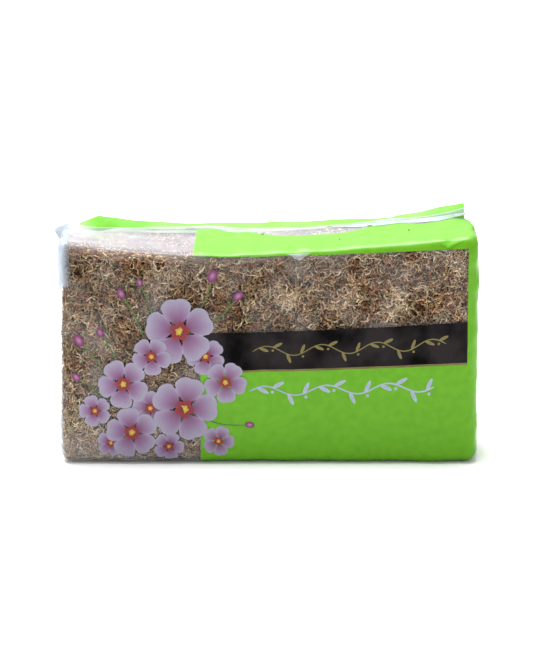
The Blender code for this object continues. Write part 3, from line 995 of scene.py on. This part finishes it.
petals, throats, eyes, buds, stems = [([], [], [], []) for kind in range(5)]
for number, (x, z, size, turn) in enumerate(BLOSSOMS):
    middle = (x / 1000, z / 1000)
    reach = size / 1000
    level = number * BLOSSOM_STEP
    for leaf in range(PETALS):
        way = math.radians(turn + 90 + 360 / PETALS * leaf)
        petal(middle, reach, way, level + PETAL_STEP * leaf, petals)
    disc(middle, reach * 0.26, 1, math.radians(turn), level + THROAT_LIFT, throats, PETALS)
    disc(middle, reach * 0.12, 1, math.radians(turn), level + EYE_LIFT, eyes, PETALS)
for x, z, foot_x, foot_z, size in BUDS:
    way = math.atan2(z - foot_z, x - foot_x)
    disc((x / 1000, z / 1000), size / 1000 * 0.62, 0.68, way, BUD_LIFT, buds)
    share = np.linspace(0, 1, 15)
    bow = 2.6 * np.sin(np.pi * share)
    stem_x = foot_x + (x - foot_x) * share + bow * math.sin(way)
    stem_z = foot_z + (z - foot_z) * share - bow * math.cos(way)
    line_of_ink(stem_x, stem_z, 0.45, stems)
PETAL_TONES = ((0.0, "#4B1938"), (0.2, "#653C59"), (0.46, "#76597A"), (0.95, "#8A8698"))
BUD_TONES = ((0, "#9C7092"), (0.6, "#74345F"), (1, "#501E40"))
FLOWER_INKS = (  # piece, its book, its ink, that ink's tones, and how strong its veins are
    ("flower_stems", stems, "stem_ink", ((0, "#2E4C22"), (1, "#4A6834")), 0),
    ("flower_petals", petals, "petal_ink", PETAL_TONES, 0.45),
    ("flower_throats", throats, "throat_ink", ((0.3, "#560F1B"), (1, "#821B20")), 0.1),
    ("flower_eyes", eyes, "eye_ink", ((0, "#B39F32"), (1, "#9C7624")), 0),
    ("flower_buds", buds, "bud_ink", BUD_TONES, 0.3),
)
for name, book, ink, tones, vein in FLOWER_INKS:
    lay_on_film(name, *book, ink_material(ink, tones, vein))


# The printed vines: a plain running vine of slender leaves and berries, in dull gold ink on
# the black band and in pale ink on the green panel. They are skins of ink, as the flowers are.
VINES = (  # name, left, right and middle in mm, sway in mm, waves, line in mm, leaf in mm
    ("vine_gold", -12, 124, 6.4, 3.6, 3.5, 0.40, 3.6),
    ("vine_pale", -14, 116, -23.0, 3.4, 3.0, 0.55, 4.6),
)
VINE_INKS = {
    "vine_gold": ink_material("gold_line_ink", ((0, "#5C5329"), (1, "#6C6235")), 0),
    "vine_pale": ink_material("pale_line_ink", ((0, "#848F9F"), (1, "#949EAD")), 0),
}
LEAF_LIFT = 0.00001
LEAF_TURN = math.radians(46)  # how far a leaf turns away from its stem
BERRY_TURN = math.radians(75)
for name, left, right, middle, sway, waves, half, leaf in VINES:
    vine = ([], [], [], [])
    share = np.linspace(0, 1, 150)
    stem_z = middle + sway * np.sin(2 * np.pi * waves * share)
    line_of_ink(left + (right - left) * share, stem_z, half, vine)
    for number in range(int(waves * 4)):
        at = (number + 0.5) / (waves * 4)
        x = left + (right - left) * at
        z = middle + sway * math.sin(2 * math.pi * waves * at)
        twig = (x / 1000, z / 1000)
        side = 1 if number % 2 else -1
        slope = sway * 2 * math.pi * waves / (right - left) * math.cos(2 * math.pi * waves * at)
        way = math.atan(slope) + side * LEAF_TURN
        spot = spot_from(twig, leaf * 0.95 / 1000, way)
        disc(spot, leaf / 1000, 0.3, way, LEAF_LIFT, vine)
        if number % 2 == 1:
            spot = spot_from(twig, leaf * 0.66 / 1000, math.atan(slope) - side * BERRY_TURN)
            disc(spot, leaf / 1000 * 0.24, 1, 0, LEAF_LIFT, vine)
    lay_on_film(name, *vine, VINE_INKS[name])


# The floor: a pale matt table under the pack, with a faint grain 25 mm across, 40 to the
# metre. It isn't part of the object.
shape = bmesh.new()
bmesh.ops.create_grid(shape, x_segments=1, y_segments=1, size=6)
mesh = bpy.data.meshes.new("table")
shape.to_mesh(mesh)
shape.free()
table = bpy.data.objects.new("table", mesh)
bpy.context.scene.collection.objects.link(table)
painted, tree, shader = new_material("pale_matt_table", roughness=0.9, gloss=0.5)
place = node(tree, "TexCoord").outputs["Object"]
grain = node(tree, "TexNoise", [("Vector", place)], Scale=40, Detail=2)
tone = node(tree, "ValToRGB", [("Fac", grain)], ((0.3, "#F3F3F3"), (0.7, "#F7F7F7")))
feed(shader, [("Base Color", tone)])
mesh.materials.append(painted)


# Studio light: a wide softbox overhead, behind the pack and to its left, in a soft white room
# that lights it from all round.
LAMP_POWER = 104
ROOM_LIGHT = 0.70


def softbox(name, place, aim, size, power):
    """Hang a softbox at a place, turned to face its aim."""
    lamp = bpy.data.lights.new(name, "AREA")
    lamp.shape = "RECTANGLE"
    lamp.size = size[0]
    lamp.size_y = size[1]
    lamp.energy = power
    light = bpy.data.objects.new(name, lamp)
    light.location = place
    light.rotation_euler = (Vector(aim) - Vector(place)).to_track_quat("-Z", "Y").to_euler()
    bpy.context.scene.collection.objects.link(light)


softbox("softbox_over", (-0.28, 0.45, 1.7), (0, 0.02, 0.1), (0.9, 1.7), LAMP_POWER)
world = bpy.data.worlds.new("white_room")
world.use_nodes = True
world.node_tree.nodes["Background"].inputs["Color"].default_value = (1, 1, 1, 1)
world.node_tree.nodes["Background"].inputs["Strength"].default_value = ROOM_LIGHT
bpy.context.scene.world = world
bpy.context.scene.view_settings.view_transform = "Standard"


# The camera, at the photograph's angle: square on to the front and 18 degrees above it. A
# long lens from far off keeps the pack's edges nearly parallel, as the photograph shows them.
CAMERA_TILT = math.radians(18)
CAMERA_DISTANCE = 4.0
CAMERA_AIM = Vector((0.00077, 0, 0.08698))
lens = bpy.data.cameras.new("camera")
lens.sensor_fit = "HORIZONTAL"
lens.sensor_width = 36
lens.lens = 381.8
camera = bpy.data.objects.new("camera", lens)
towards = Vector((0, math.cos(CAMERA_TILT), -math.sin(CAMERA_TILT)))
camera.location = CAMERA_AIM - CAMERA_DISTANCE * towards
camera.rotation_euler = towards.to_track_quat("-Z", "Y").to_euler()
bpy.context.scene.collection.objects.link(camera)
bpy.context.scene.camera = camera

bpy.context.view_layer.update()
